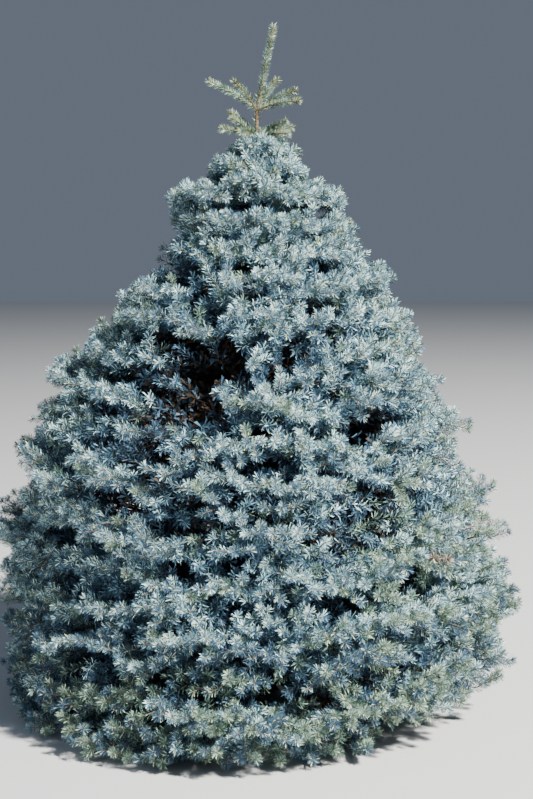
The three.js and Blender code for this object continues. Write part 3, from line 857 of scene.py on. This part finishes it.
def prismSet(starts, ends, startRadii, endRadii, sides):
    # closed tapering prisms along many lines, as points and triangles
    side, over = frameAcross(unit(ends - starts))
    turns = 2 * math.pi * np.arange(sides) / sides
    ring = side[:, None] * np.cos(turns)[:, None] + over[:, None] * np.sin(turns)[:, None]
    low = starts[:, None] + ring * startRadii[:, None, None]
    high = ends[:, None] + ring * endRadii[:, None, None]
    points = np.concatenate([low, high], 1)
    here = np.arange(sides)
    ahead = (here + 1) % sides
    walls = [[here, ahead, ahead + sides], [here, ahead + sides, here + sides]]
    walls = np.concatenate([np.stack(wall, 1) for wall in walls])
    lowCap = [(0, i + 1, i) for i in range(1, sides - 1)]
    highCap = [(sides, sides + i, sides + i + 1) for i in range(1, sides - 1)]
    pattern = np.concatenate([walls, np.array(lowCap + highCap)])
    corner = 2 * sides * np.arange(len(starts))[:, None, None]
    return points.reshape(-1, 3), (corner + pattern).reshape(-1, 3), len(pattern)


def addTwigs(name, chosen, sides):
    starts, ends = arrayOf(chosen, "start"), arrayOf(chosen, "end")
    startRadii = np.array([radiusOf(shoot, shoot["age"] + 1) for shoot in chosen])
    endRadii = np.array([radiusOf(shoot, shoot["age"]) for shoot in chosen])
    points, faces, each = prismSet(starts, ends, startRadii, endRadii, sides)
    tan = [int(shoot["age"] == 0 and shoot["depth"] < wood["tanDepth"]) for shoot in chosen]
    return joinedMesh(name, points, faces, woodMaterials, np.repeat(tan, each))


def addBuds(name, chosen):
    # a pointed bud at the end of each young shoot
    ends = arrayOf(chosen, "end")
    axis = unit(ends - arrayOf(chosen, "start"))
    side, over = frameAcross(axis)
    middle = ends + axis * wood["budLength"] * wood["budBelly"]
    corners = [ends - axis * wood["budSeat"], ends + axis * wood["budLength"]]
    for turn in range(4):
        angle = turn * math.pi / 2
        corners.append(middle + (side * math.cos(angle) + over * math.sin(angle)) * wood["budRadius"])
    points = np.stack(corners, 1).reshape(-1, 3)
    pattern = []
    for turn in range(4):
        here, ahead = 2 + turn, 2 + (turn + 1) % 4
        pattern += [(0, ahead, here), (1, here, ahead)]
    corner = 6 * np.arange(len(chosen))[:, None, None]
    faces = (corner + np.array(pattern)).reshape(-1, 3)
    return joinedMesh(name, points, faces, [woodMaterials[1]], np.zeros(len(faces)))


fine = [shoot for shoot in shoots if shoot["order"] > 1]
budded = [shoot for shoot in foliated if shoot["age"] == 0 and shoot["depth"] < wood["tanDepth"]]
woodPieces = [
    addTwigs("limbs", [shoot for shoot in shoots if shoot["order"] < 2], wood["limbSides"]),
    addTwigs("twigs_1", [shoot for shoot in fine if shoot["space"]["k"] < 2], wood["twigSides"]),
    addTwigs("twigs_2", [shoot for shoot in fine if shoot["space"]["k"] > 1], wood["twigSides"]),
    addBuds("buds", budded),
]
for piece in woodPieces:
    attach(piece, "root")
    print(piece.name, len(piece.data.polygons))


# Trunk, drawn up ring by ring from its flat cut, with roots that flare and scaly bark

trunk = {
    "top": 2.092,
    "footRadius": 0.05,
    "topRadius": 0.006,
    "taper": 0.85,
    "flareReach": 0.026,
    "flareHeight": 0.13,
    "roots": 5,
    "sides": 30,
    "line": (
        (0, 0, 0), (0.005, -0.004, 0.5), (-0.003, 0.004, 1.15), (-0.006, 0.001, 1.7), (-0.004, 0, 2.092),
    ),
    "rings": (
        0, 0.015, 0.03, 0.05, 0.08, 0.13, 0.2, 0.32, 0.46, 0.6,
        0.78, 0.96, 1.15, 1.35, 1.55, 1.75, 1.92, 2.01, 2.092,
    ),
    "lobes": (0.55, 0.45),  # the flare between roots and at them is the difference and the sum
    "cut": 0.0002,  # height of the flat cut
    "youngFrom": 1.8,  # height from which the bark is young
    "relief": 0.004,
    "reliefMiddle": 0.7,
    "scaleSize": 0.016,
    "finer": 2,
}
barkMaterials = [
    barkMaterial("barkBrown", (0.035, 0.026, 0.02), (0.16, 0.12, 0.09), 55, 0.004),
    barkMaterial("youngBark", (0.13, 0.08, 0.045), (0.3, 0.2, 0.11), 130, 0.001),
]


def trunkCentre(z):
    line = trunk["line"]
    z = min(z, trunk["top"])
    i = next(i for i in range(len(line) - 1) if z <= line[i + 1][2])
    share = (z - line[i][2]) / (line[i + 1][2] - line[i][2])
    eased = share * share * (3 - 2 * share)
    return Vector((lerp(line[i][0], line[i + 1][0], eased), lerp(line[i][1], line[i + 1][1], eased), z))


def trunkRadius(z):
    return lerp(trunk["footRadius"], trunk["topRadius"], (z / trunk["top"]) ** trunk["taper"])


def roughen(piece, cuts, relief, scale):
    # finer faces, then scales of bark raised and sunk along the normals
    finer = piece.modifiers.new("finer", "SUBSURF")
    finer.subdivision_type = "SIMPLE"
    finer.levels = cuts
    finer.render_levels = cuts
    scales = bpy.data.textures.new(piece.name + "Scales", "VORONOI")
    scales.noise_scale = scale
    rough = piece.modifiers.new("rough", "DISPLACE")
    rough.texture = scales
    rough.texture_coords = "LOCAL"
    rough.strength = relief
    rough.mid_level = trunk["reliefMiddle"]
    bpy.ops.object.modifier_apply(modifier="finer")
    bpy.ops.object.modifier_apply(modifier="rough")
    bpy.ops.object.shade_smooth()


def addTrunk():
    rings = [trunkCentre(z) for z in trunk["rings"]]
    bpy.ops.object.select_all(action="DESELECT")
    bpy.ops.mesh.primitive_circle_add(
        vertices=trunk["sides"], radius=trunkRadius(0), fill_type="NGON", location=rings[0]
    )
    piece = bpy.context.active_object
    piece.name = "trunkBark"
    bpy.ops.object.mode_set(mode="EDIT")
    bpy.ops.mesh.select_all(action="SELECT")
    for low, high in zip(rings, rings[1:]):
        bpy.ops.mesh.extrude_region_move(TRANSFORM_OT_translate={"value": high - low})
        taper = trunkRadius(high.z) / trunkRadius(low.z)
        bpy.ops.transform.resize(value=(taper, taper, 1), center_override=high)
    bpy.ops.mesh.select_all(action="SELECT")
    bpy.ops.mesh.normals_make_consistent(inside=False)
    bpy.ops.object.mode_set(mode="OBJECT")
    steady, swing = trunk["lobes"]
    for vertex in piece.data.vertices:
        z = vertex.co.z
        centre = trunkCentre(z)
        out = Vector((vertex.co.x - centre.x, vertex.co.y - centre.y, 0))
        flare = trunk["flareReach"] * max(0, 1 - z / trunk["flareHeight"]) ** 2
        lobes = steady + swing * math.cos(trunk["roots"] * math.atan2(out.y, out.x))
        vertex.co += out.normalized() * flare * lobes
    for material in barkMaterials:
        piece.data.materials.append(material)
    roughen(piece, trunk["finer"], trunk["relief"], trunk["scaleSize"])
    bpy.ops.object.mode_set(mode="EDIT")
    bpy.ops.mesh.select_all(action="SELECT")
    bpy.ops.mesh.bisect(plane_co=(0, 0, trunk["cut"]), plane_no=(0, 0, 1), clear_inner=True, use_fill=True)
    bpy.ops.object.mode_set(mode="OBJECT")
    for face in piece.data.polygons:
        face.material_index = 1 if face.center.z > trunk["youngFrom"] else 0
    return piece


bark = addTrunk()
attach(bark, "root")
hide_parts("trunk")
print("trunk", len(bark.data.polygons))


# Boughs, each a bevelled curve from the trunk to its mass

bough = {
    "footRadius": 0.014,
    "tipRadius": 0.009,
    "foot": 0.04,
    "points": 5,
    "bevelSteps": 3,
    "curveSteps": 6,
    "relief": 0.002,
    "scaleSize": 0.012,
    "finer": 1,
}


def addBough(space):
    last = bough["points"] - 1
    stops = [lerp(bough["foot"], crown["boughShare"] * space["reach"], i / last) for i in range(last + 1)]
    bpy.ops.object.select_all(action="DESELECT")
    bpy.ops.curve.primitive_nurbs_path_add(location=(0, 0, 0))
    piece = bpy.context.active_object
    piece.name = "%sBough_%d" % (tiers[space["k"]]["name"], space["index"] + 1)
    path = piece.data.splines[0]
    path.order_u = 3
    path.use_endpoint_u = True
    for i, (point, radius) in enumerate(zip(path.points, stops)):
        point.co = (*stemPoint(space, radius), 1)
        # a point's radius multiplies the bevel's depth of a hundredth
        point.radius = lerp(bough["footRadius"], bough["tipRadius"], i / last) * 100
    piece.data.bevel_depth = 0.01
    piece.data.bevel_resolution = bough["bevelSteps"]
    piece.data.use_fill_caps = True
    piece.data.resolution_u = bough["curveSteps"]
    bpy.ops.object.convert(target="MESH")
    piece.data.materials.append(barkMaterials[0])
    roughen(piece, bough["finer"], bough["relief"], bough["scaleSize"])
    return piece


for space in spaces:
    if space["k"] < 2:
        limb = addBough(space)
        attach(limb, "root")
        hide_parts("%s_bough_%d" % (tiers[space["k"]]["name"], space["index"] + 1))
print("boughs: done")


# The open top: a leader over its whorl of young shoots, and a second whorl below

top = {
    "height": 2.4,
    "lean": (0.062, 0.012),
    "secondWhorl": 2.001,
    "leaderStem": (0.006, 0.0028),  # radii at its foot and tip
    "stem": (0.0045, 0.0022),
    "stemSides": 8,
    "leaderPast": 0.022,  # how far the last needles reach past the leader's stem
    "shootPast": 0.012,  # and past the other shoots' stems
    "year": 0.04,  # length of a straight stretch
    "arch": 22,  # degrees that a shoot flattens along its length
    "needleLength": 0.9,
    "needlesPerStretch": 105,
    "atFoot": 0.45,  # share of the needles that a shoot's first stretch has
    "breadth": 0.95,
    "pale": 0.8,
    "trunkNeedlesFrom": 1.93,  # the trunk's last stretch has needles of its own
    "trunkNeedlesLength": trunk["top"] - 1.95,
    "trunkNeedles": 40,
    "offPlumb": 0.001,  # because a plumb shoot has no level direction to be turned in
    "seed": 77,
}
# bearing and rise in degrees, and length, of the shoots of the top whorl and of the one below
topShoots = [(177, 31, 0.205), (232, 36, 0.16), (335, 10, 0.172), (10, 28, 0.165), (48, 47, 0.168)]
secondShoots = [
    (150, 40, 0.148), (197, 12, 0.137), (243, 6, 0.122), (328, 3, 0.137), (18, 15, 0.144), (200, 34, 0.12),
    (350, 27, 0.125),
]
openShoots = []


def addOpenShoot(at, heading, length, arch, needles, foot, tip):
    stretches = max(2, round(length / top["year"]))
    for i in range(stretches):
        last = i == stretches - 1
        share = (i + 0.5) / stretches
        direction = turned(heading, 0, arch * (0.5 - share))
        end = at + direction * length / stretches
        openShoots.append({
            "start": at,
            "end": end,
            "radii": (lerp(foot, tip, i / stretches), lerp(foot, tip, (i + 1) / stretches)),
            "needles": round(needles * (top["atFoot"] if i == 0 else 1)),
            "age": 0 if last else 1,
            "tipped": 1.0 if last else 0.0,
            "breadth": top["breadth"],
            "tint": tintNames.index("olive" if last else "leaf"),
            "otherTint": tintNames.index("moss" if i % 2 else "sage"),
            "fullness": top["needleLength"],
            "pale": top["pale"],
        })
        at = end


def pointing(bearing, rise):
    rise = math.radians(rise)
    return polar(math.cos(rise), math.radians(bearing), math.sin(rise))


whorl = trunkCentre(trunk["top"])
leaderTip = whorl + Vector((*top["lean"], top["height"] - trunk["top"]))
leaderReach = (leaderTip - whorl).length
needles = top["needlesPerStretch"]
leaderHeading = (leaderTip - whorl).normalized()
addOpenShoot(whorl, leaderHeading, leaderReach - top["leaderPast"], 0, needles, *top["leaderStem"])
for place, young in ((whorl, topShoots), (trunkCentre(top["secondWhorl"]), secondShoots)):
    for bearing, rise, length in young:
        heading = pointing(bearing, rise)
        addOpenShoot(place, heading, length - top["shootPast"], top["arch"], needles, *top["stem"])
stemStretches = len(openShoots)
heading = upward + Vector((top["offPlumb"], 0, 0))
place = trunkCentre(top["trunkNeedlesFrom"])
addOpenShoot(place, heading, top["trunkNeedlesLength"], 0, top["trunkNeedles"], 0, 0)
topNodes = ["leader"] + ["whorl_shoot_%d" % (i + 1) for i in range(len(topShoots))]

points, faces, tints = needleSet(openShoots, np.random.default_rng(top["seed"]), True)
topNeedles = joinedMesh("topNeedles", points, faces, needleMaterials, tints)
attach(topNeedles, "root")
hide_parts(*topNodes)

stems = openShoots[:stemStretches]
radii = np.array([shoot["radii"] for shoot in stems])
starts, ends = arrayOf(stems, "start"), arrayOf(stems, "end")
points, faces, _ = prismSet(starts, ends, radii[:, 0], radii[:, 1], top["stemSides"])
topStems = joinedMesh("topStems", points, faces, [barkMaterials[1]], np.zeros(len(faces)))
topBuds = addBuds("topBuds", [shoot for shoot in stems if shoot["age"] == 0])
for piece in (topStems, topBuds):
    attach(piece, "root")
print("open top: %d needles" % (len(topNeedles.data.polygons) / 2))
